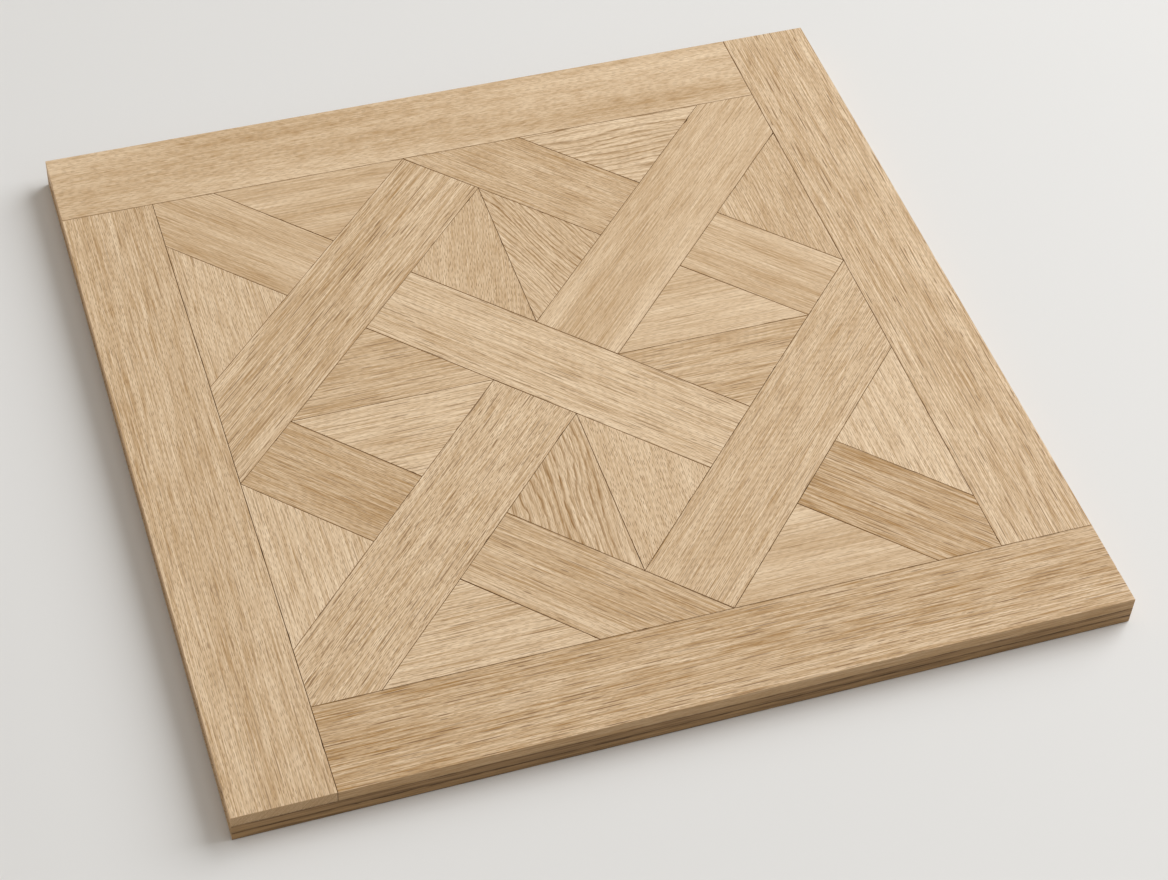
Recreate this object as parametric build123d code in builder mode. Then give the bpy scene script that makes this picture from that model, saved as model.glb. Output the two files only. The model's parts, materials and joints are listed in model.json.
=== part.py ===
"""Square oak parquet panel of three layers, lying flat with its face up.

The face is a woven lattice: four border boards in a pinwheel, strips at 45 degrees that pass
over and under each other, and triangles that fill what is left. The face boards lie on a core
sheet, and a backing sheet closes the panel below.

Millimetres, +Z up, +X along the front edge, +Y towards the back. The origin is at the middle
of the underside.
"""

import os
from math import sqrt

from build123d import *

# Driving dimensions
panel_side = 600.0
border_width = 66.0
strip_width = 64.0
face_thickness = 9.0
core_thickness = 7.0
backing_thickness = 7.0
joint_gap = 0.3
face_arris = 0.3
layer_arris = 0.4

# Levels, from the underside up
core_base = backing_thickness
face_base = core_base + core_thickness

# The panel's outer edge and the inner edge of the border, measured from the centre
outer_edge = panel_side / 2
field_edge = outer_edge - border_width

# The border's front board runs out to the right edge and butts against the left board. Half a
# joint is added outside, because each board is drawn back by half a joint all round
rim = outer_edge + joint_gap / 2
border_outline = [(-field_edge, -rim), (rim, -rim), (rim, -field_edge), (-field_edge, -field_edge)]

# Turning that outline's own axis through the four directions makes the pinwheel
border_boards = {
    "border_front": (1, 0, 0),
    "border_right": (0, 1, 0),
    "border_back": (-1, 0, 0),
    "border_left": (0, -1, 0),
}

# The lattice is drawn on diagonal axes, where the field stands on its corner: its corners lie
# at the reach, and the middle lines of the outer strips at half of it
rising = (1, 1, 0)
half_turned = (-1, -1, 0)
reach = field_edge * sqrt(2)
strip_pitch = reach / 2

# Where the edges of the strips lie on those axes: the middle strip's edge, the inner and the
# outer edge of an outer strip, and the shoulder of a strip that ends in a corner of the field
half = strip_width / 2
inner = strip_pitch - half
outer = strip_pitch + half
shoulder = reach - half

# The lattice comes back to itself after half a turn, so its boards come in pairs: an outline
# is that of the first name, and half a turn brings it to the second
lattice_pairs = [
    (
        "rising_strip_left",
        "rising_strip_right",
        [(-outer, inner), (inner, inner), (inner, outer), (-inner, outer)],
    ),
    (
        "rising_strip_far_corner",
        "rising_strip_near_corner",
        [(half, -half), (shoulder, -half), (reach, 0), (shoulder, half), (half, half)],
    ),
    (
        "falling_strip_left_corner",
        "falling_strip_right_corner",
        [(-half, outer), (half, outer), (half, shoulder), (0, reach), (-half, shoulder)],
    ),
    (
        "falling_strip_back",
        "falling_strip_front",
        [(inner, half), (outer, half), (outer, inner), (inner, outer)],
    ),
    (
        "short_strip_right",
        "short_strip_left",
        [(inner, -inner), (outer, -inner), (outer, -half), (inner, -half)],
    ),
    ("infill_back_left", "infill_front_right", [(half, half), (inner, inner), (half, inner)]),
    ("infill_back_right", "infill_front_left", [(half, half), (inner, half), (inner, inner)]),
    ("infill_left_back", "infill_right_front", [(-inner, inner), (-half, half), (-half, inner)]),
    ("infill_left_front", "infill_right_back", [(-inner, inner), (-inner, half), (-half, half)]),
    ("edge_back_left", "edge_front_right", [(half, outer), (inner, outer), (half, shoulder)]),
    ("edge_back_right", "edge_front_left", [(outer, half), (shoulder, half), (outer, inner)]),
    ("edge_right_back", "edge_left_front", [(outer, -inner), (shoulder, -half), (outer, -half)]),
    ("edge_right_front", "edge_left_back", [(half, -shoulder), (inner, -outer), (half, -outer)]),
]
middle_outline = [(-half, -inner), (half, -inner), (half, inner), (-half, inner)]


def face_board(label, along, outline):
    """Raise one board of the face from the core, drawn back at its joints and eased on top."""
    with BuildPart() as board:
        with BuildSketch(Plane(origin=(0, 0, face_base), x_dir=along, z_dir=(0, 0, 1))):
            Polygon(*outline)
            offset(amount=-joint_gap / 2, kind=Kind.INTERSECTION)
        extrude(amount=face_thickness)
        chamfer(board.faces().sort_by(Axis.Z)[-1].edges(), length=face_arris)
    board.part.label = label
    export_step(board.part, f"parts/{label}.step")


def under_layer(label, base, thickness):
    """Lay one sheet under the face, eased round its upper and lower rim."""
    with BuildPart() as sheet:
        with BuildSketch(Plane.XY.offset(base)):
            Rectangle(panel_side, panel_side)
        extrude(amount=thickness)
        chamfer(sheet.edges().filter_by(Axis.Z, reverse=True), length=layer_arris)
    sheet.part.label = label
    export_step(sheet.part, f"parts/{label}.step")


os.makedirs("parts", exist_ok=True)

under_layer("backing_layer", 0, backing_thickness)
under_layer("core_layer", core_base, core_thickness)

for name, along in border_boards.items():
    face_board(name, along, border_outline)

for first, second, outline in lattice_pairs:
    face_board(first, rising, outline)
    face_board(second, half_turned, outline)

face_board("falling_strip_middle", rising, middle_outline)
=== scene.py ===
"""Looks of the oak parquet panel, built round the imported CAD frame.

Every board of the face and both layers under it are modelled again as numpy surfaces that stand
exactly where their CAD nodes are: a grid that follows the grain on top, with the growth rings in
low relief, and an eased edge profile carried round the outline. Each mesh carries its own grain
coordinates and ring count, so that one oak formula gives every board its own figure.

Metres, +Z up, +X along the front edge, +Y towards the back.
"""

import json
import logging
import math
from dataclasses import dataclass
from enum import Enum
from typing import Any, Mapping, Sequence, Union

import bmesh
import bpy
import numpy as np
from mathutils import Matrix, Vector
from mathutils.geometry import convex_hull_2d


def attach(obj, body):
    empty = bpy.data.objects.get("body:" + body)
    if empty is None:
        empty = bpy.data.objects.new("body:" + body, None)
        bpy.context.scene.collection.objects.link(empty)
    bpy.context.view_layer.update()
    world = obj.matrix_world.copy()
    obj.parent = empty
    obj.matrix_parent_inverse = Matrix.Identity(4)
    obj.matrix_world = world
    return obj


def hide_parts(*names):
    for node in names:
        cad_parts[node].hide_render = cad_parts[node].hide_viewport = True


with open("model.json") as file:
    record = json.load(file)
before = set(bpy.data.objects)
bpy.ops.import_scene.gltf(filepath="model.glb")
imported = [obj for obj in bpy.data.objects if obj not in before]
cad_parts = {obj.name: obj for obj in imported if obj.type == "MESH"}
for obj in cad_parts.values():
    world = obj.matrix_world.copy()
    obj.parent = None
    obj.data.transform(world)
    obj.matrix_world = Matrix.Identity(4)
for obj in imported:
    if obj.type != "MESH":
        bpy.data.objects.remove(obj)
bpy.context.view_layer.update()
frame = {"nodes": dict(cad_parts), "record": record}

log = logging.getLogger("parquet")

MM = 0.001
ROOT_BODY = "root"

# Seeds: the first board's and the first layer's, and the step to the seed of a board's rings
FIRST_BOARD_SEED = 11
FIRST_LAYER_SEED = 91
RING_SEED_STEP = 1000

# Two points closer than this are one, and a point this close to a side lies on it
MERGE_DISTANCE = 0.002 * MM
TOUCH_DISTANCE = 0.001 * MM
TOUCH_SHARE = 1e-4
TINY = 1e-12

# Decimals that outline corners and grid levels are rounded to, in metres
CORNER_DECIMALS = 6
LEVEL_DECIMALS = 7

# How far a board's grain coordinates are shifted at the most, so that no two boards look alike
GRAIN_SHIFT = 3.0

# Power of the way to a corner with which a layer is painted paler there, as painted light
CORNER_POWER = 4

# Edges that turn by more than this stay sharp
SHARP_ANGLE = math.radians(50.0)

# Where each side of a board lies on its bake map, as low and high ends
MAP_WIDTH = (0.01, 0.99)
MAP_TOP = (0.16, 0.99)
MAP_UNDER = (0.11, 0.15)
MAP_RIM = (0.01, 0.10)

# Blender's noise lies between 0 and 1, evenly round this value
NOISE_MIDDLE = 0.5

# Places of the Mix node's colour sockets, which share their names with sockets of other types
MIX_SHARE, MIX_FIRST, MIX_SECOND = 0, 6, 7
MIX_RESULT = 2

Colour = tuple[float, float, float]
Span = tuple[float, float]
Number = Union["Signal", float]
Tint = Union["Signal", Colour]


class Signal:
    """A value in a node tree. Its operators add Math nodes, so that a formula reads as Python."""

    def __init__(self, tree: "Shading", socket: bpy.types.NodeSocket) -> None:
        """Wrap one output socket of a tree."""
        self.tree = tree
        self.socket = socket

    def math(self, operation: str, *values: Number) -> "Signal":
        """Add one Math node.

        Args:
            operation: Blender's name of the operation.
            values: its inputs, in order.

        Returns:
            The node's result.
        """
        return self.tree.node("ShaderNodeMath", {"operation": operation}, dict(enumerate(values)))

    def __add__(self, other: Number) -> "Signal":
        """Sum."""
        return self.math("ADD", self, other)

    def __radd__(self, other: Number) -> "Signal":
        """Sum with a number on the left."""
        return self.math("ADD", other, self)

    def __sub__(self, other: Number) -> "Signal":
        """Difference."""
        return self.math("SUBTRACT", self, other)

    def __rsub__(self, other: Number) -> "Signal":
        """Difference from a number on the left."""
        return self.math("SUBTRACT", other, self)

    def __mul__(self, other: Number) -> "Signal":
        """Product."""
        return self.math("MULTIPLY", self, other)

    def __rmul__(self, other: Number) -> "Signal":
        """Product with a number on the left."""
        return self.math("MULTIPLY", other, self)

    def fract(self) -> "Signal":
        """What is left above the whole number."""
        return self.math("FRACT", self)

    def floor(self) -> "Signal":
        """The whole number below."""
        return self.math("FLOOR", self)

    def size(self) -> "Signal":
        """The value without its sign."""
        return self.math("ABSOLUTE", self)

    def larger(self, other: Number) -> "Signal":
        """The larger of two values."""
        return self.math("MAXIMUM", self, other)

    def ramp(self, low: Number, high: Number) -> "Signal":
        """Rise smoothly from 0 to 1.

        Args:
            low: the value that gives 0.
            high: the value that gives 1.

        Returns:
            The eased share of the way from low to high.
        """
        return self.tree.node(
            "ShaderNodeMapRange",
            {"interpolation_type": "SMOOTHSTEP"},
            {"Value": self, "From Min": low, "From Max": high},
        )


class Shading:
    """A material's node tree, with one method that adds any node to it."""

    def __init__(self, name: str) -> None:
        """Start an empty material.

        Args:
            name: the material's name.
        """
        self.material = bpy.data.materials.new(name)
        self.material.use_nodes = True
        self.tree = self.material.node_tree
        self.tree.nodes.clear()

    def add(
        self, kind: str, settings: Mapping[str, Any], inputs: Mapping[Union[str, int], Any]
    ) -> bpy.types.Node:
        """Add one node.

        Args:
            kind: Blender's type name of the node.
            settings: its properties, which are set before its sockets.
            inputs: a value or a signal for each socket, by name or by place.

        Returns:
            The node.
        """
        made = self.tree.nodes.new(kind)
        for key, value in settings.items():
            setattr(made, key, value)
        for key, value in inputs.items():
            if isinstance(value, Signal):
                self.tree.links.new(value.socket, made.inputs[key])
            else:
                made.inputs[key].default_value = value
        return made

    def node(
        self,
        kind: str,
        settings: Mapping[str, Any],
        inputs: Mapping[Union[str, int], Any],
        output: Union[str, int] = 0,
    ) -> Signal:
        """Add one node and take one of its outputs.

        Args:
            kind: Blender's type name of the node.
            settings: its properties.
            inputs: a value or a signal for each socket.
            output: the output that the result wraps, by name or by place.

        Returns:
            That output.
        """
        return Signal(self, self.add(kind, settings, inputs).outputs[output])

    def attribute(self, name: str, output: str = "Fac") -> Signal:
        """Read one of the mesh's own attributes.

        Args:
            name: the attribute's name.
            output: "Fac" for a number, "Vector" for three.

        Returns:
            Its value at the point that is shaded.
        """
        return self.node("ShaderNodeAttribute", {"attribute_name": name}, {}, output)

    def parts(self, vector: Signal) -> tuple[Signal, ...]:
        """Take a vector's three numbers apart."""
        made = self.add("ShaderNodeSeparateXYZ", {}, {0: vector})
        return tuple(Signal(self, socket) for socket in made.outputs)

    def mix(self, share: Number, first: Tint, second: Tint) -> Signal:
        """Blend two colours.

        Args:
            share: 0 for the first colour, 1 for the second.
            first: a colour or a signal.
            second: a colour or a signal.

        Returns:
            The blended colour.
        """
        sides = [(*side, 1.0) if isinstance(side, tuple) else side for side in (first, second)]
        return self.node(
            "ShaderNodeMix",
            {"data_type": "RGBA"},
            {MIX_SHARE: share, MIX_FIRST: sides[0], MIX_SECOND: sides[1]},
            MIX_RESULT,
        )

    def finished(self, shader: Signal) -> bpy.types.Material:
        """Link the shader to the material's surface and hand the material over."""
        self.add("ShaderNodeOutputMaterial", {}, {"Surface": shader})
        return self.material


@dataclass(frozen=True)
class Dash:
    """Sizes of one kind of vessel: its cells' length and its rows' pitch and width, in metres.

    Fill gives the shortest and the longest dash as shares of a cell, and faintest the weakest
    one's share of the full strength. Aside is where in its row a dash can lie, stagger is how many
    cells the rows are shifted by at the most, and slant shifts the rows down the board's walls.
    Soft is how far a dash's sides fade, rise and fall are where along it its ends do.
    """

    cell: float
    pitch: float
    width: float
    fill: Span
    faintest: float
    aside: Span = (0.35, 0.65)
    stagger: float = 40.0
    slant: float = 0.83
    soft: float = 0.5
    rise: float = 0.3
    fall: float = 0.6


@dataclass(frozen=True)
class Figure:
    """How strongly the parts of the figure show, as shares.

    The first group shapes the band of early wood in each ring, the second says how much browner
    each part makes the wood and how much paler the gleams, painted highlights, make it, the third
    how far it opens pores and how the glue lines, with their painted seam shade, show, and the
    last one is relief and roughness.
    """

    early_share: float = 0.50
    late_end: float = 0.93
    ring_rhythm: float = 0.41
    ring_range: Span = (0.3, 0.7)
    faintest_ring: float = 0.4
    smear_range: Span = (-0.15, 0.12)
    faintest_smear: float = 0.2

    band_depth: float = 0.4
    fibre_depth: float = 0.35
    fibre_veined: float = 1.1
    fur_depth: float = 0.95
    mottle_depth: float = 0.5
    ray_width: float = 0.03
    ray_depth: float = 0.07
    painted_gleam_depth: float = 0.12

    band_pores: float = 0.4
    hair_pores: float = 0.7
    # glue lines, with painted shade of the seams and of the floor contact
    thin_glue_and_shade: float = 0.25
    smeared_glue_and_shade: float = 0.6

    fibre_height: float = 0.3
    band_height: float = 0.2
    pore_height: float = 0.6
    bump_strength: float = 0.5
    pore_roughness: float = 0.12
    fibre_roughness: float = 0.15


@dataclass(frozen=True)
class OakFinish:
    """Matt oiled oak, coloured by a board's own tone, rings, veins and pores.

    Colours are the wood's own, in linear light, except that the wall colour also holds painted
    shade of the sides and the glue colour painted shade of the seams. Lengths are in metres, and
    a pair of lengths is that of one streak along and across the grain.
    """

    name: str
    pale: Colour
    brown: Colour
    pore_colour: Colour
    wall_wood_and_shade_colour: Colour
    # wall colour: rawer edge wood, darkened further as painted shade of the sides
    glue_and_shade_colour: Colour
    # glue colour: glue lines, darkened further as painted shade of the seams and the floor contact
    roughness: float = 0.52
    specular: float = 0.30
    fibre: Span = (0.040, 0.0009)
    fur: Span = (0.016, 0.00055)
    cloud: Span = (0.30, 0.020)
    smear: Span = (0.014, 0.0013)
    mottle: Span = (0.010, 0.0035)
    sway: Span = (0.060, 0.012)
    sway_reach: float = 0.0008
    streak_roughness: float = 0.55
    vein: Dash = Dash(0.040, 0.0028, 0.0007, (0.15, 1.0), 0.0)
    hair: Dash = Dash(0.007, 0.0012, 0.00045, (0.5, 1.0), 0.2)
    # painted highlights: pale dashes drawn into the colour
    painted_gleam: Dash = Dash(0.030, 0.0025, 0.0007, (0.5, 1.0), 0.2)
    figure: Figure = Figure()
    wall_wood_and_shade_share: float = 0.6
    bump_depth: float = 0.00010

    def streaks(self, shading: Shading, grain: Signal, size: Span, detail: float) -> Signal:
        """Noise drawn out along the grain.

        Args:
            shading: the tree that it goes into.
            grain: the board's grain coordinates.
            size: the length and the width of one streak.
            detail: how many finer layers are added.

        Returns:
            A value round 0 that stays mostly between -0.2 and 0.2.
        """
        length, width = size
        stretch = (1.0 / length, 1.0 / width, 1.0 / width)
        place = shading.node("ShaderNodeVectorMath", {"operation": "MULTIPLY"}, {0: grain, 1: stretch})
        noise = shading.node(
            "ShaderNodeTexNoise",
            {"noise_dimensions": "3D"},
            {"Vector": place, "Scale": 1.0, "Detail": detail, "Roughness": self.streak_roughness},
        )
        return noise - NOISE_MIDDLE

    def vessels(self, shading: Shading, grain: Signal, dash: Dash) -> Signal:
        """Open vessels of the wood, drawn as rows of thin dashes along the grain.

        The board is cut into rows of one pitch, which sway slowly, and each row into equal cells
        that start at a chance place. Each cell holds one dash, of a chance length, strength and
        place across the row.

        Args:
            shading: the tree that it goes into.
            grain: the board's grain coordinates.
            dash: the dashes' sizes.

        Returns:
            0 on plain wood, up to 1 in a vessel.
        """
        along, across, up = shading.parts(grain)
        sway = self.streaks(shading, grain, self.sway, detail=0.0)
        place = (across + dash.slant * up + self.sway_reach * sway) * (1.0 / dash.pitch)
        row = place.floor()
        start = shading.node("ShaderNodeTexWhiteNoise", {"noise_dimensions": "1D"}, {"W": row})
        run = along * (1.0 / dash.cell) + dash.stagger * start
        cell = shading.node("ShaderNodeCombineXYZ", {}, {"X": run.floor(), "Y": row})
        chance = shading.node(
            "ShaderNodeTexWhiteNoise", {"noise_dimensions": "2D"}, {"Vector": cell}, "Color"
        )
        first, second, third = shading.parts(chance)
        nearest, farthest = dash.aside
        aside = (place.fract() - nearest - (farthest - nearest) * first).size()
        half = 0.5 * dash.width / dash.pitch
        line = 1.0 - aside.ramp((1.0 - dash.soft) * half, (1.0 + dash.soft) * half)
        shortest, longest = dash.fill
        end = shortest + (longest - shortest) * second
        share = run.fract()
        body = share.ramp(0.0, dash.rise * end) * (1.0 - share.ramp(dash.fall * end, end))
        return line * body * (dash.faintest + (1.0 - dash.faintest) * third)

    def ring_band(self, shading: Shading, smears: Signal) -> Signal:
        """Porous early wood of the growth rings.

        Each ring starts sharply with its early wood and fades into dense late wood. Some rings
        are fainter than others, and smears along the grain break them up.

        Args:
            shading: the tree that it goes into.
            smears: 0 where the bands are faint, 1 where they are full.

        Returns:
            0 in late wood, up to the board's own ring strength in early wood.
        """
        figure = self.figure
        phase = shading.attribute("phase")
        cycle = phase.fract()
        start = cycle.ramp(figure.late_end, 1.0)
        early = (1.0 - cycle.ramp(0.0, figure.early_share)).larger(start)
        rhythm = shading.node(
            "ShaderNodeTexNoise",
            {"noise_dimensions": "1D"},
            {"W": phase * figure.ring_rhythm, "Scale": 1.0, "Detail": 1.0},
        )
        uneven = rhythm.ramp(*figure.ring_range)
        ring_share = figure.faintest_ring + (1.0 - figure.faintest_ring) * uneven
        smear_share = figure.faintest_smear + (1.0 - figure.faintest_smear) * smears
        return early * ring_share * smear_share * shading.attribute("ringed")

    def ray_flecks(self, shading: Shading, grain: Signal) -> Signal:
        """Ray flecks: a soft mottle, with thin pale lines where it passes its middle value.

        Args:
            shading: the tree that they go into.
            grain: the board's grain coordinates.

        Returns:
            How much browner they make the wood.
        """
        mottle = self.streaks(shading, grain, self.mottle, detail=1.5)
        rays = 1.0 - mottle.size().ramp(0.0, self.figure.ray_width)
        flecks = self.figure.mottle_depth * mottle - self.figure.ray_depth * rays
        return shading.attribute("flecked") * flecks

    def material(self) -> bpy.types.Material:
        """Build the node tree.

        The depth of tone is the board's own, plus clouds, flecks, fibres and ring bands, less the
        gleams, which are painted highlights, and blends the pale wood into the brown. Then come the
        pores, the walls' rawer wood darkened further as painted shade, and the glue lines, darkened
        further as painted shade of the seams and of the floor contact.

        Returns:
            The finished material.
        """
        figure = self.figure
        shading = Shading(self.name)
        grain = shading.attribute("grain", "Vector")
        veined = shading.attribute("veined")
        porous = shading.attribute("porous")

        smears = self.streaks(shading, grain, self.smear, detail=2.0).ramp(*figure.smear_range)
        band = self.ring_band(shading, smears)
        fibre = self.streaks(shading, grain, self.fibre, detail=1.0)
        fur = self.streaks(shading, grain, self.fur, detail=1.0)
        cloud = self.streaks(shading, grain, self.cloud, detail=1.5)
        lines = self.vessels(shading, grain, self.vein) * veined
        hairs = self.vessels(shading, grain, self.hair) * porous
        # painted highlights: pale dashes that lighten the wood's colour below
        painted_gleams = self.vessels(shading, grain, self.painted_gleam)
        pores = (figure.hair_pores * hairs).larger(lines).larger(figure.band_pores * band)

        depth = shading.attribute("tone") + cloud * shading.attribute("cloudy")
        depth = depth + self.ray_flecks(shading, grain)
        depth = depth + fibre * (figure.fibre_depth + figure.fibre_veined * veined)
        depth = depth + figure.fur_depth * fur * porous
        depth = depth + figure.band_depth * band - figure.painted_gleam_depth * painted_gleams

        # painted shade: the glue lines along the rims are darkened further to stand for the shade in the
        # seams between layers and where the backing meets the floor
        glue_and_shade = shading.attribute("glue_and_shade") * (figure.thin_glue_and_shade + figure.smeared_glue_and_shade * smears)
        colour = shading.mix(depth, self.pale, self.brown)
        colour = shading.mix(pores, colour, self.pore_colour)
        # painted shade: the walls and the underside take the darker wall colour, rawer edge wood made darker
        # still to stand for the shade on the sides
        colour = shading.mix(shading.attribute("wall") * self.wall_wood_and_shade_share, colour, self.wall_wood_and_shade_colour)
        colour = shading.mix(glue_and_shade, colour, self.glue_and_shade_colour)

        height = figure.fibre_height * fibre - figure.band_height * band - figure.pore_height * pores
        bump = shading.node(
            "ShaderNodeBump",
            {},
            {"Strength": figure.bump_strength, "Distance": self.bump_depth, "Height": height},
        )
        uneven_gloss = figure.pore_roughness * pores + figure.fibre_roughness * fibre
        shader = shading.node(
            "ShaderNodeBsdfPrincipled",
            {},
            {
                "Base Color": colour,
                "Roughness": self.roughness + uneven_gloss,
                "Specular IOR Level": self.specular,
                "Normal": bump,
            },
        )
        return shading.finished(shader)


class Tone(Enum):
    """How deep a board's tone is: 0 is the pale end of the finish, 1 the brown end."""

    PALE = 0.27
    HONEY = 0.345
    TAN = 0.41
    AMBER = 0.485
    RUSSET = 0.555
    COPPER = 0.63


@dataclass(frozen=True)
class Trunk:
    """Where a board lay in its trunk.

    The heart of the trunk runs along the grain, to one side of the board's middle and below its
    face. Climb is how fast the heart falls away along the board, and wander how far the rings
    stray. All are in metres but the climb.
    """

    heart_aside: float
    heart_below: float
    ring_width: float
    climb: float
    wander: float


@dataclass(frozen=True)
class Cut:
    """How a board's figure shows: its trunk, and the strengths of what is seen on its face.

    They are growth rings, long veins, hair pores, soft clouds and ray flecks.
    """

    trunk: Trunk
    ringed: float
    veined: float
    porous: float
    cloudy: float
    flecked: float = 0.0


WIDE_RINGED = Trunk(0.20, 0.03, 0.0070, 0.010, 0.0016)


class Sawing(Enum):
    """The cuts that the panel's boards come from."""

    RIFT = Cut(Trunk(0.14, 0.10, 0.0032, 0.010, 0.0012), ringed=0.16, veined=0.65, porous=0.95, cloudy=0.4)
    PLAIN = Cut(Trunk(0.03, 0.05, 0.0050, 0.030, 0.0020), ringed=0.22, veined=0.85, porous=0.80, cloudy=0.5)
    STRIPED = Cut(Trunk(0.16, 0.05, 0.0044, 0.008, 0.0010), ringed=0.28, veined=1.0, porous=0.85, cloudy=0.4)
    FURRY = Cut(Trunk(0.10, 0.12, 0.0030, 0.012, 0.0010), ringed=0.16, veined=0.95, porous=1.15, cloudy=0.3)
    QUIET = Cut(WIDE_RINGED, ringed=0.16, veined=0.45, porous=0.62, cloudy=0.7, flecked=0.3)
    FLECKED = Cut(WIDE_RINGED, ringed=0.06, veined=0.12, porous=0.80, cloudy=0.8, flecked=1.0)
    EVEN = Cut(WIDE_RINGED, ringed=0.05, veined=0.12, porous=1.20, cloudy=0.3, flecked=0.35)
    BOLD = Cut(Trunk(0.09, 0.06, 0.0041, 0.006, 0.0022), ringed=1.55, veined=0.45, porous=0.85, cloudy=0.5)
    COMBED = Cut(Trunk(0.12, 0.06, 0.0029, 0.010, 0.0018), ringed=1.60, veined=0.30, porous=0.90, cloudy=0.5)


@dataclass(frozen=True)
class Look:
    """What one board looks like: its tone, its cut and how far its grain leans from its long side.

    Corner painted light is how much paler the wood is painted towards the panel's corners, as painted light.
    """

    tone: Tone
    sawing: Sawing
    lean_deg: float = 0.0
    corner_painted_light: float = 0.0


LOOKS: dict[str, Look] = {
    "border_front": Look(Tone.RUSSET, Sawing.STRIPED),
    "border_right": Look(Tone.TAN, Sawing.STRIPED),
    "border_back": Look(Tone.TAN, Sawing.FLECKED),
    "border_left": Look(Tone.TAN, Sawing.RIFT),
    "rising_strip_left": Look(Tone.TAN, Sawing.STRIPED),
    "rising_strip_right": Look(Tone.TAN, Sawing.RIFT),
    "rising_strip_near_corner": Look(Tone.HONEY, Sawing.FURRY),
    "rising_strip_far_corner": Look(Tone.TAN, Sawing.QUIET),
    "falling_strip_middle": Look(Tone.PALE, Sawing.PLAIN),
    "falling_strip_left_corner": Look(Tone.TAN, Sawing.QUIET),
    "falling_strip_right_corner": Look(Tone.COPPER, Sawing.STRIPED),
    "falling_strip_back": Look(Tone.AMBER, Sawing.RIFT),
    "falling_strip_front": Look(Tone.AMBER, Sawing.PLAIN),
    "short_strip_left": Look(Tone.RUSSET, Sawing.RIFT),
    "short_strip_right": Look(Tone.TAN, Sawing.QUIET),
    "infill_back_left": Look(Tone.TAN, Sawing.EVEN, -12.0),
    "infill_back_right": Look(Tone.HONEY, Sawing.COMBED, 21.0),
    "infill_front_left": Look(Tone.HONEY, Sawing.BOLD, -4.0),
    "infill_front_right": Look(Tone.HONEY, Sawing.EVEN, -4.0),
    "infill_left_back": Look(Tone.AMBER, Sawing.PLAIN),
    "infill_left_front": Look(Tone.PALE, Sawing.PLAIN),
    "infill_right_back": Look(Tone.HONEY, Sawing.QUIET),
    "infill_right_front": Look(Tone.AMBER, Sawing.PLAIN),
    "edge_back_left": Look(Tone.TAN, Sawing.QUIET),
    "edge_back_right": Look(Tone.PALE, Sawing.BOLD),
    "edge_front_left": Look(Tone.HONEY, Sawing.PLAIN),
    "edge_front_right": Look(Tone.TAN, Sawing.QUIET),
    "edge_left_back": Look(Tone.HONEY, Sawing.RIFT),
    "edge_left_front": Look(Tone.PALE, Sawing.RIFT),
    "edge_right_back": Look(Tone.TAN, Sawing.RIFT),
    "edge_right_front": Look(Tone.PALE, Sawing.RIFT),
}

LAYER_LOOKS: dict[str, Look] = {
    # painted light: both layers are painted paler towards the panel's corners
    "core_layer": Look(Tone.TAN, Sawing.RIFT, corner_painted_light=0.25),
    "backing_layer": Look(Tone.PALE, Sawing.RIFT, corner_painted_light=0.25),
}


@dataclass(frozen=True)
class Edge:
    """How a piece's rim is made. Lengths are in metres, and ranges are shares of a length."""

    top_round: float
    bottom_round: float
    arc_steps: int = 3
    wall_steps: int = 6
    unevenness: float = 0.00010
    wave_length: float = 0.06
    chips: int = 4
    chip_depth: float = 0.0005
    chip_length: float = 0.0015
    depth_range: Span = (0.3, 1.0)
    length_range: Span = (0.5, 1.5)


@dataclass(frozen=True)
class Weave:
    """How finely a piece's top is divided, along and across its grain, and its relief.

    Lengths are in metres. Fade is the share of a ring over which the relief dies away.
    """

    along: float = 0.006
    across: float = 0.0009
    least_columns: int = 4
    relief: float = 0.00005
    fade: float = 0.3


@dataclass(frozen=True)
class Growth:
    """How the rings of every trunk stray. Lengths are in metres, the rest are shares.

    Sway is a slow wave and ripple a quick one. The ring width swings over a run of rings.
    """

    heart_range: Span = (0.8, 1.2)
    sway_lengths: Span = (0.11, 0.05)
    ripple_lengths: Span = (0.025, 0.02)
    ripple_share: float = 0.25
    width_swing: float = 0.35
    swing_rings: float = 5.0


class Outline:
    """The convex outline of a CAD node, and the levels of its base and its top."""

    def __init__(self, node: str) -> None:
        """Read the node's corners.

        Args:
            node: the CAD node's name.
        """
        mesh = frame["nodes"][node].data
        points = np.empty(len(mesh.vertices) * 3, np.float32)
        mesh.vertices.foreach_get("co", points)
        points = points.reshape(-1, 3).astype(float)
        self.base, self.top = points[:, 2].min(), points[:, 2].max()
        flat = np.unique(points[:, :2].round(CORNER_DECIMALS), axis=0)
        self.corners = flat[convex_hull_2d([tuple(p) for p in flat])]
        if self.area() < 0.0:
            self.corners = self.corners[::-1]

    def area(self) -> float:
        """The signed area, positive where the corners run anticlockwise."""
        x, y = self.corners.T
        return 0.5 * float(np.sum(x * np.roll(y, -1) - np.roll(x, -1) * y))

    def long_side(self) -> float:
        """The direction of the longest side.

        Returns:
            Its angle from +X.
        """
        sides = np.roll(self.corners, -1, axis=0) - self.corners
        side = sides[np.argmax(np.hypot(*sides.T))]
        return math.atan2(side[1], side[0])


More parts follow.
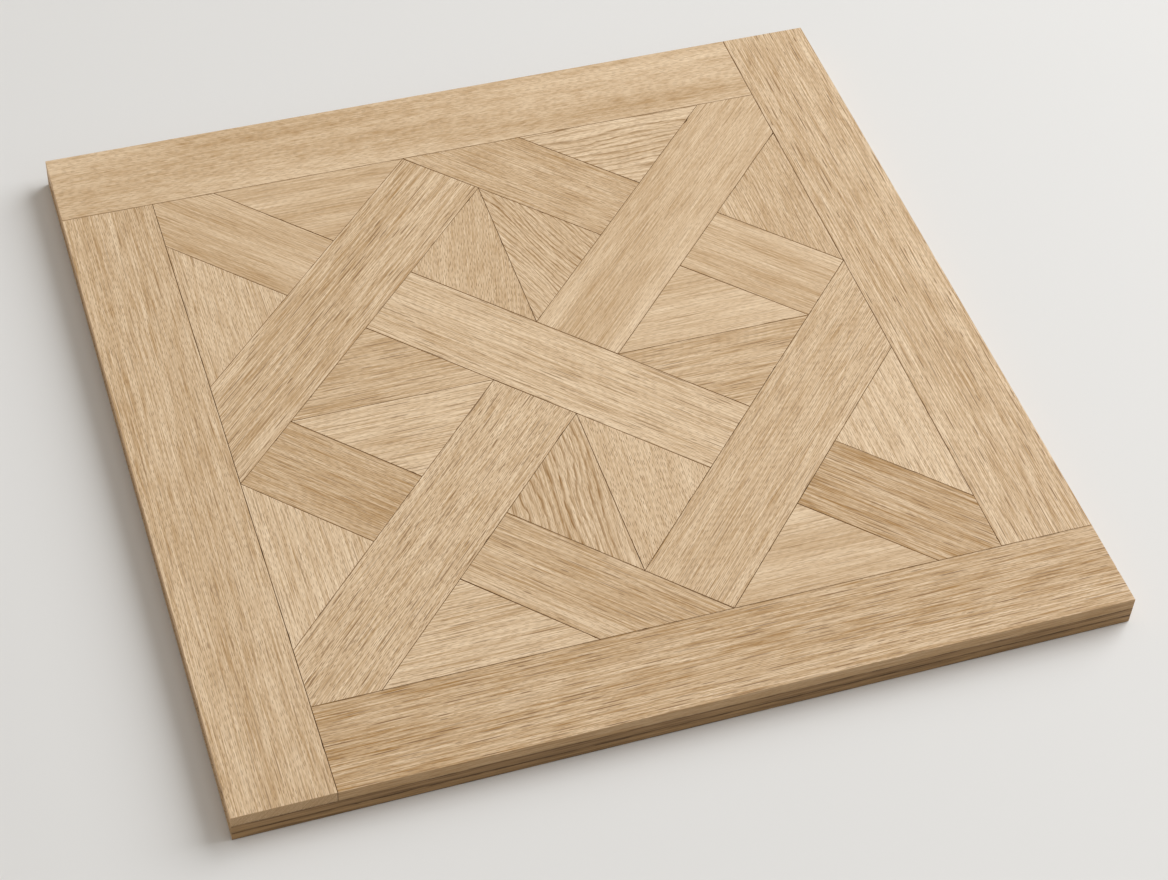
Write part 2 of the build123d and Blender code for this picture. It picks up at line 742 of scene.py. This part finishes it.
def mitres(corners: np.ndarray, points: np.ndarray) -> np.ndarray:
    """Outward steps that keep a point on an outline as the outline grows.

    A point on one side steps along that side's outward normal. A point on two sides steps along
    the sum of both normals, times two over its squared length, so that it stays on both.

    Args:
        corners: the outline, anticlockwise.
        points: points that lie on it.

    Returns:
        One step for each point, for a growth of one.
    """
    sides = np.roll(corners, -1, axis=0) - corners
    normals = np.stack([sides[:, 1], -sides[:, 0]], axis=1) / np.hypot(*sides.T)[:, None]
    away = np.einsum("pse,se->ps", points[:, None, :] - corners[None, :, :], normals)
    on_side = np.abs(away) < TOUCH_DISTANCE
    total = on_side.astype(float) @ normals
    return total * (on_side.sum(1) / np.maximum((total**2).sum(1), TINY))[:, None]


def waves(
    rng: np.random.Generator,
    points: np.ndarray,
    lengths: Sequence[float],
    count: int = 6,
    rate_range: Span = (0.4, 1.6),
) -> np.ndarray:
    """A smooth random field: the sum of sine waves of random direction, length and phase.

    Args:
        rng: the board's own source of chance.
        points: where it is wanted, one row each.
        lengths: a typical wave's length along each axis.
        count: how many waves are added.
        rate_range: how slow and how quick a wave can be, as shares of the typical one.

    Returns:
        One value for each point, mostly between -1 and 1.
    """
    shape = (count, len(lengths))
    rates = rng.uniform(*rate_range, shape) * rng.choice([-1.0, 1.0], shape)
    starts = rng.uniform(0.0, 2.0 * math.pi, count)
    angles = points @ (2.0 * math.pi * rates / np.asarray(lengths)).T + starts
    return np.sin(angles).sum(1) / math.sqrt(2.0 * count)


def faces_of(*corners: np.ndarray) -> np.ndarray:
    """Faces from arrays of point numbers, one array for each corner of a face."""
    return np.stack(corners, axis=-1).reshape(-1, len(corners))


@dataclass(frozen=True)
class Shell:
    """A board's closed surface as arrays.

    The top's points come first, row by row, then the rings of the rim, and last the middle of the
    underside. The plan is in grain axes, loop is the top's border, and a face is a row of point
    numbers.
    """

    plan: np.ndarray
    level: np.ndarray
    loop: np.ndarray
    top_count: int
    ring_count: int
    top_faces: np.ndarray
    wall_faces: np.ndarray
    under_faces: np.ndarray

    def spread(self, top: float, rings: np.ndarray, middle: float) -> np.ndarray:
        """Give every point a number.

        Args:
            top: the number of the top's points.
            rings: one number for each ring of the rim.
            middle: the number of the underside's middle.

        Returns:
            One number for each point, in order.
        """
        return np.concatenate([np.full(self.top_count, top), np.repeat(rings, len(self.loop)), [middle]])


@dataclass
class Board:
    """One piece of wood: its place from the frame, its look and its rim."""

    node: str
    look: Look
    edge: Edge
    weave: Weave
    seed: int
    growth: Growth = Growth()

    def __post_init__(self) -> None:
        """Read the outline and turn it into the grain's own axes."""
        self.rng = np.random.default_rng(self.seed)
        self.outline = Outline(self.node)
        angle = self.outline.long_side() + math.radians(self.look.lean_deg)
        self.turn = np.array([[math.cos(angle), -math.sin(angle)], [math.sin(angle), math.cos(angle)]])
        self.middle = self.outline.corners.mean(0)
        self.local = (self.outline.corners - self.middle) @ self.turn
        self.shift = self.rng.uniform(-GRAIN_SHIFT, GRAIN_SHIFT, 3)

    def rows(self, inner: np.ndarray) -> np.ndarray:
        """Levels across the grain at which the top is divided.

        Between the levels of neighbouring corners they are evenly spaced, so that every corner of
        the outline lies on a row.

        Args:
            inner: the outline of the flat top, in grain axes.

        Returns:
            The levels, rising.
        """
        stops = np.unique(inner[:, 1].round(LEVEL_DECIMALS))
        spans = [
            np.linspace(low, high, max(1, math.ceil((high - low) / self.weave.across)), endpoint=False)
            for low, high in zip(stops[:-1], stops[1:])
        ]
        return np.concatenate([*spans, stops[-1:]])

    def top_grid(self) -> tuple[np.ndarray, np.ndarray]:
        """Divide the flat top into rows along the grain.

        Each row runs straight from the outline's one side to the other at its own level, and is
        cut into equal steps, with one short step at each end.

        Returns:
            The points as rows by columns by two, and the outline of the flat top.
        """
        inner = self.local - self.edge.top_round * mitres(self.local, self.local)
        levels = self.rows(inner)
        start, end = inner, np.roll(inner, -1, axis=0)
        rise = end[:, 1] - start[:, 1]
        level = np.abs(rise) < TOUCH_DISTANCE
        share = (levels[:, None] - start[None, :, 1]) / np.where(level, 1.0, rise)[None, :]
        meets = (share > -TOUCH_SHARE) & (share < 1.0 + TOUCH_SHARE) & ~level[None, :]
        across = start[None, :, 0] + share.clip(0.0, 1.0) * (end - start)[None, :, 0]
        left = np.where(meets, across, np.inf).min(1)
        right = np.where(meets, across, -np.inf).max(1)
        width = right - left
        columns = max(self.weave.least_columns, math.ceil(width.max() / self.weave.along))
        steps = np.linspace(0.0, 1.0, columns + 1)[None, :] * width[:, None]
        short = np.minimum(self.weave.across, width / columns)
        steps[:, 1] = short
        steps[:, -2] = width - short
        points = np.stack([left[:, None] + steps, np.broadcast_to(levels[:, None], steps.shape)], axis=2)
        return points, inner

    def profile(self) -> np.ndarray:
        """The rim from the flat top's edge down to the base, as steps outward and levels.

        A quarter circle eases the top arris, then the wall falls straight, and where the lower
        arris is eased too, a second quarter circle turns under.

        Returns:
            One row for each ring below the first: the step outward and the level.
        """
        quarter = np.linspace(0.0, math.pi / 2.0, self.edge.arc_steps + 1)
        top, low = self.edge.top_round, self.edge.bottom_round
        upper = np.stack([top * np.sin(quarter), self.outline.top - top * (1.0 - np.cos(quarter))], axis=1)
        levels = np.linspace(self.outline.top - top, self.outline.base + low, self.edge.wall_steps + 1)
        wall = np.stack([np.full_like(levels, top), levels], axis=1)
        rings = [upper[1:], wall[1:]]
        if low > 0.0:
            inward = top - low * (1.0 - np.cos(quarter))
            under = np.stack([inward, self.outline.base + low * (1.0 - np.sin(quarter))], axis=1)
            rings.append(under[1:])
        return np.concatenate(rings)

    def unevenness(self, loop: np.ndarray) -> np.ndarray:
        """How far the rim stands in from its true line.

        Slow waves take off a little everywhere, and a few small chips, each a bell curve along
        the rim, take off more.

        Args:
            loop: the rim's points, in order.

        Returns:
            One step inward for each point.
        """
        edge = self.edge
        wave = waves(self.rng, loop, (edge.wave_length, edge.wave_length)).clip(-1.0, 1.0)
        run = np.concatenate([[0.0], np.cumsum(np.hypot(*np.diff(loop, axis=0).T))])
        spots = self.rng.uniform(0.0, run[-1], edge.chips)
        depths = edge.chip_depth * self.rng.uniform(*edge.depth_range, edge.chips)
        spread = edge.chip_length * self.rng.uniform(*edge.length_range, edge.chips)
        bells = depths * np.exp(-(((run[:, None] - spots) / spread) ** 2))
        return edge.unevenness * (0.5 + 0.5 * wave) + bells.sum(1)

    def shell(self) -> Shell:
        """Join the top, the rim and the underside.

        The rim's profile is carried round the top's border: a ring is the border, stepped outward
        along its mitres, at the ring's own level. The underside is a fan round its middle.

        Returns:
            The closed surface, before the relief is cut into it.
        """
        grid, inner = self.top_grid()
        flat = grid.reshape(-1, 2).copy()
        ids = np.arange(len(flat)).reshape(grid.shape[:2])
        loop = np.concatenate([ids[0], ids[1:, -1], ids[-1, -2::-1], ids[-2:0:-1, 0]])
        outward = mitres(inner, flat[loop])
        flat[loop] -= outward * self.unevenness(flat[loop])[:, None]

        steps, levels = self.profile().T
        walls = flat[loop][None] + steps[:, None, None] * outward[None]
        wall_ids = len(flat) + np.arange(len(steps) * len(loop)).reshape(len(steps), len(loop))
        middle_id = len(flat) + wall_ids.size
        wall_levels = np.repeat(levels, len(loop))

        belt = np.concatenate([loop[None], wall_ids])
        after = np.roll(belt, -1, axis=1)
        return Shell(
            plan=np.concatenate([flat, walls.reshape(-1, 2), inner.mean(0)[None]]),
            level=np.concatenate([np.full(len(flat), self.outline.top), wall_levels, [self.outline.base]]),
            loop=loop,
            top_count=len(flat),
            ring_count=len(steps),
            top_faces=faces_of(ids[:-1, :-1], ids[:-1, 1:], ids[1:, 1:], ids[1:, :-1]),
            wall_faces=faces_of(belt[1:], after[1:], after[:-1], belt[:-1]),
            under_faces=faces_of(belt[-1], np.full(len(loop), middle_id), after[-1]),
        )

    def rings(self, grain: np.ndarray) -> np.ndarray:
        """Count growth rings from the heart of the trunk.

        The distance from the heart is the root of the squared steps aside and down to it. The
        heart falls away along the board and the rings wander, and the count is that distance
        over the ring width, which itself varies slowly.

        Args:
            grain: points along, across and above the face, in metres.

        Returns:
            The ring count at each point.
        """
        trunk, growth = self.look.sawing.value.trunk, self.growth
        rng = np.random.default_rng(self.seed + RING_SEED_STEP)
        side = rng.choice([-1.0, 1.0])
        heart = trunk.heart_aside * side * rng.uniform(*growth.heart_range)
        sway = trunk.wander * waves(rng, grain[:, :2], growth.sway_lengths)
        ripple = growth.ripple_share * trunk.wander * waves(rng, grain[:, :2], growth.ripple_lengths)
        aside = grain[:, 1] - heart + sway + ripple
        below = grain[:, 2] - trunk.heart_below + trunk.climb * grain[:, 0]
        distance = np.hypot(aside, below)
        swing = waves(rng, distance[:, None], (growth.swing_rings * trunk.ring_width,))
        return distance / trunk.ring_width + growth.width_swing * swing

    def carved(self, shell: Shell, phase: np.ndarray) -> np.ndarray:
        """Cut the rings into the top, within its border.

        Each ring starts at the full depth, which dies away as a falling exponential.

        Args:
            shell: the board's surface.
            phase: the ring count at each point.

        Returns:
            Every point's level.
        """
        inside = np.arange(len(shell.plan)) < shell.top_count
        inside[shell.loop] = False
        cycle = phase - np.floor(phase)
        return shell.level - self.weave.relief * np.where(inside, np.exp(-cycle / self.weave.fade), 0.0)

    def numbers(self, shell: Shell, phase: np.ndarray, world: np.ndarray) -> dict[str, np.ndarray]:
        """What the finish reads at each point.

        The way to a corner is the lesser of the distances from the panel's two middle lines, over
        half its side, and the layers are painted paler towards the corners as painted light. Glue
        lines, darkened further as painted shade of the seams and of the floor contact, lie along the
        lower rim, and along the upper one too where a piece is eased on both sides.

        Args:
            shell: the board's surface.
            phase: the ring count at each point.
            world: every point's place.

        Returns:
            One number for each point, by attribute name.
        """
        cut, edge = self.look.sawing.value, self.edge
        even = np.ones(len(shell.plan))
        reach = np.abs(world[:, :2])
        corner = reach.min(1) / reach.max()
        # glue lines with painted seam shade: the lowest ring, and on the layers the eased rings above and
        # below
        glue_and_shade = np.zeros(shell.ring_count)
        glue_and_shade[-1] = 1.0
        if edge.bottom_round > 0.0:
            glue_and_shade[: edge.arc_steps] = 1.0
            glue_and_shade[-edge.arc_steps - 1:] = 1.0
        return {
            "phase": phase,
            # painted light: a paler tone towards the panel's corners
            "tone": self.look.tone.value - self.look.corner_painted_light * corner**CORNER_POWER,
            "ringed": cut.ringed * even,
            "veined": cut.veined * even,
            "porous": cut.porous * even,
            "cloudy": cut.cloudy * even,
            "flecked": cut.flecked * even,
            # walls and underside: rawer edge wood, partly painted shade of the sides
            "wall": shell.spread(0.0, np.ones(shell.ring_count), 1.0),
            "glue_and_shade": shell.spread(0.0, glue_and_shade, 1.0),
        }

    def build(self, material: bpy.types.Material) -> bpy.types.Object:
        """Make the mesh, give it its attributes and its bake map, and stand it for its node.

        Args:
            material: the wood's finish.

        Returns:
            The finished piece.
        """
        shell = self.shell()
        grain = np.column_stack([shell.plan, shell.level - self.outline.top])
        phase = self.rings(grain)
        world = np.column_stack([shell.plan @ self.turn.T + self.middle, self.carved(shell, phase)])

        mesh = bpy.data.meshes.new(self.node + "_oak")
        faces = shell.top_faces.tolist() + shell.wall_faces.tolist() + shell.under_faces.tolist()
        mesh.from_pydata(world.tolist(), [], faces)
        self.write_map(mesh, shell)
        for name, values in self.numbers(shell, phase, world).items():
            layer = mesh.attributes.new(name, "FLOAT", "POINT")
            layer.data.foreach_set("value", values.astype(np.float32))
        layer = mesh.attributes.new("grain", "FLOAT_VECTOR", "POINT")
        layer.data.foreach_set("vector", (grain + self.shift).astype(np.float32).ravel())
        self.close(mesh)
        mesh.materials.append(material)

        piece = bpy.data.objects.new(self.node + "_oak", mesh)
        bpy.context.scene.collection.objects.link(piece)
        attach(piece, ROOT_BODY)
        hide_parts(self.node)
        slot_of(self.node)
        log.info("%s: %d faces", piece.name, len(mesh.polygons))
        return piece

    def write_map(self, mesh: bpy.types.Mesh, shell: Shell) -> None:
        """Lay the piece out flat for baking.

        The top fills most of the map, the rim runs along its lower edge as a band, and the
        underside has a narrow strip between them.

        Args:
            mesh: the mesh that gets the map.
            shell: the board's surface.
        """
        low, high = shell.plan.min(0), shell.plan.max(0)
        unit = (shell.plan - low) / (high - low)
        sides = np.interp(unit[:, 0], (0.0, 1.0), MAP_WIDTH)
        top = np.column_stack([sides, np.interp(unit[:, 1], (0.0, 1.0), MAP_TOP)])
        under = np.column_stack([sides, np.interp(unit[:, 1], (0.0, 1.0), MAP_UNDER)])
        around = np.linspace(*MAP_WIDTH, len(shell.loop) + 1)
        down = np.linspace(*MAP_RIM, shell.ring_count + 1)
        here, there = np.meshgrid(around[:-1], down[:-1])
        after, below = np.meshgrid(around[1:], down[1:])
        rim = np.stack([here, below, after, below, after, there, here, there], axis=-1)
        corners = [top[shell.top_faces], rim, under[shell.under_faces]]
        layer = mesh.uv_layers.new(name="OFBake")
        flat = np.concatenate([part.ravel() for part in corners])
        layer.uv.foreach_set("vector", flat.astype(np.float32))

    def close(self, mesh: bpy.types.Mesh) -> None:
        """Merge the points that meet at a pointed end, and keep the sharp edges sharp.

        Args:
            mesh: the mesh to finish.
        """
        work = bmesh.new()
        work.from_mesh(mesh)
        bmesh.ops.remove_doubles(work, verts=work.verts, dist=MERGE_DISTANCE)
        bmesh.ops.dissolve_degenerate(work, edges=work.edges, dist=TOUCH_DISTANCE)
        work.to_mesh(mesh)
        work.free()
        mesh.shade_smooth()
        mesh.set_sharp_from_angle(angle=SHARP_ANGLE)


def slot_of(node: str) -> str:
    """The record's material slot of a CAD node."""
    return next(s["material_slot"] for s in frame["record"]["subparts"] if s["node"] == node)


@dataclass(frozen=True)
class Lamp:
    """A soft studio lamp. Lengths in metres, power in watts."""

    name: str
    place: tuple[float, float, float]
    aim: tuple[float, float, float]
    size: Span
    power: float
    colour: Colour = (1.0, 1.0, 1.0)

    def hang(self) -> None:
        """Add the lamp to the scene."""
        data = bpy.data.lights.new(self.name, "AREA")
        data.shape = "RECTANGLE"
        data.size, data.size_y = self.size
        data.energy = self.power
        data.color = self.colour
        lamp = bpy.data.objects.new(self.name, data)
        lamp.location = self.place
        lamp.rotation_euler = (Vector(self.aim) - Vector(self.place)).to_track_quat("-Z", "Y").to_euler()
        bpy.context.scene.collection.objects.link(lamp)


@dataclass(frozen=True)
class Studio:
    """The floor, the lamps, the sky and the camera."""

    floor_side: float = 12.0
    floor_drop: float = 0.00005
    floor_colour: Colour = (0.790, 0.783, 0.763)
    floor_roughness: float = 0.6
    floor_specular: float = 0.2
    sky_colour: Colour = (1.0, 0.91, 0.80)
    sky_strength: float = 0.25
    azimuth_deg: float = -21.22
    elevation_deg: float = 48.17
    roll_deg: float = 4.08
    lens_mm: float = 80.46
    sensor_mm: float = 36.0
    aim: tuple[float, float, float] = (-0.0026, -0.0701, 0.023)
    distance: float = 1.768
    lamps: tuple[Lamp, ...] = (
        Lamp("key", (4.68, 1.28, 3.86), (0.0, 0.0, 0.0), (5.4, 5.4), 404.0, (1.0, 1.025, 1.06)),
        Lamp("fill", (2.6, -3.2, 2.6), (0.0, 0.0, 0.0), (3.0, 3.0), 14.0, (1.0, 1.02, 1.05)),
        Lamp("top", (-0.3, 0.0, 4.5), (0.0, 0.0, 0.0), (3.0, 3.0), 31.0),
        Lamp("low", (-3.0, 0.3, 0.10), (0.0, 0.0, 0.01), (2.0, 0.15), 22.0),
    )

    def build(self) -> None:
        """Set everything up."""
        self.lay_floor()
        for lamp in self.lamps:
            lamp.hang()
        self.light_sky()
        self.set_camera()

    def lay_floor(self) -> None:
        """Lay a plain pale floor just under the panel."""
        half = self.floor_side / 2.0
        mesh = bpy.data.meshes.new("floor")
        corners = [(-half, -half), (half, -half), (half, half), (-half, half)]
        mesh.from_pydata([(x, y, -self.floor_drop) for x, y in corners], [], [(0, 1, 2, 3)])
        shading = Shading("floor_paint")
        shader = shading.node(
            "ShaderNodeBsdfPrincipled",
            {},
            {
                "Base Color": (*self.floor_colour, 1.0),
                "Roughness": self.floor_roughness,
                "Specular IOR Level": self.floor_specular,
            },
        )
        mesh.materials.append(shading.finished(shader))
        floor = bpy.data.objects.new("floor", mesh)
        bpy.context.scene.collection.objects.link(floor)

    def light_sky(self) -> None:
        """Fill the room with an even pale light."""
        world = bpy.data.worlds.new("sky")
        world.use_nodes = True
        background = world.node_tree.nodes["Background"]
        background.inputs["Color"].default_value = (*self.sky_colour, 1.0)
        background.inputs["Strength"].default_value = self.sky_strength
        bpy.context.scene.world = world

    def set_camera(self) -> None:
        """Stand the camera where the picture was taken from."""
        around, up = math.radians(self.azimuth_deg), math.radians(self.elevation_deg)
        away = Vector((math.sin(around) * math.cos(up), -math.cos(around) * math.cos(up), math.sin(up)))
        data = bpy.data.cameras.new("camera")
        data.sensor_fit = "HORIZONTAL"
        data.sensor_width = self.sensor_mm
        data.lens = self.lens_mm
        camera = bpy.data.objects.new("camera", data)
        level = (-away).to_track_quat("-Z", "Y").to_matrix().to_4x4()
        roll = Matrix.Rotation(math.radians(self.roll_deg), 4, "Z")
        camera.matrix_world = Matrix.Translation(Vector(self.aim) + self.distance * away) @ level @ roll
        bpy.context.scene.collection.objects.link(camera)
        bpy.context.scene.camera = camera


FACE_OAK = OakFinish(
    name="face_oak",
    pale=(0.893, 0.699, 0.477),
    brown=(0.385, 0.20, 0.05),
    pore_colour=(0.24, 0.13, 0.054),
    wall_wood_and_shade_colour=(0.46, 0.28, 0.125),
    glue_and_shade_colour=(0.15, 0.08, 0.03),
)

LAYER_OAK = OakFinish(
    name="layer_oak",
    pale=(0.50, 0.310, 0.140),
    brown=(0.14, 0.075, 0.028),
    pore_colour=(0.10, 0.05, 0.018),
    wall_wood_and_shade_colour=(0.26, 0.143, 0.054),
    glue_and_shade_colour=(0.09, 0.048, 0.019),
    fibre=(0.060, 0.0010),
    vein=Dash(0.160, 0.0040, 0.0012, (0.4, 0.9), 0.4),
    hair=Dash(0.080, 0.0022, 0.0009, (0.4, 0.9), 0.2),
    painted_gleam=Dash(0.120, 0.0034, 0.0011, (0.4, 0.9), 0.2),
    wall_wood_and_shade_share=0.2,
)

FACE_EDGE = Edge(top_round=0.00015, bottom_round=0.0, wall_steps=8)
LAYER_EDGE = Edge(top_round=0.0004, bottom_round=0.0004, unevenness=0.00005, chips=0)
FACE_WEAVE = Weave()
LAYER_WEAVE = Weave(along=0.03, across=0.006, relief=0.0)


def main() -> None:
    """Build the panel and the studio."""
    logging.basicConfig(level=logging.INFO, format="%(name)s %(message)s")
    bpy.context.scene.view_settings.view_transform = "Standard"
    face_material = FACE_OAK.material()
    layer_material = LAYER_OAK.material()
    for place, (node, look) in enumerate(LOOKS.items()):
        Board(node, look, FACE_EDGE, FACE_WEAVE, FIRST_BOARD_SEED + place).build(face_material)
    for place, (node, look) in enumerate(LAYER_LOOKS.items()):
        Board(node, look, LAYER_EDGE, LAYER_WEAVE, FIRST_LAYER_SEED + place).build(layer_material)
    Studio().build()


if __name__ == "__main__":
    main()
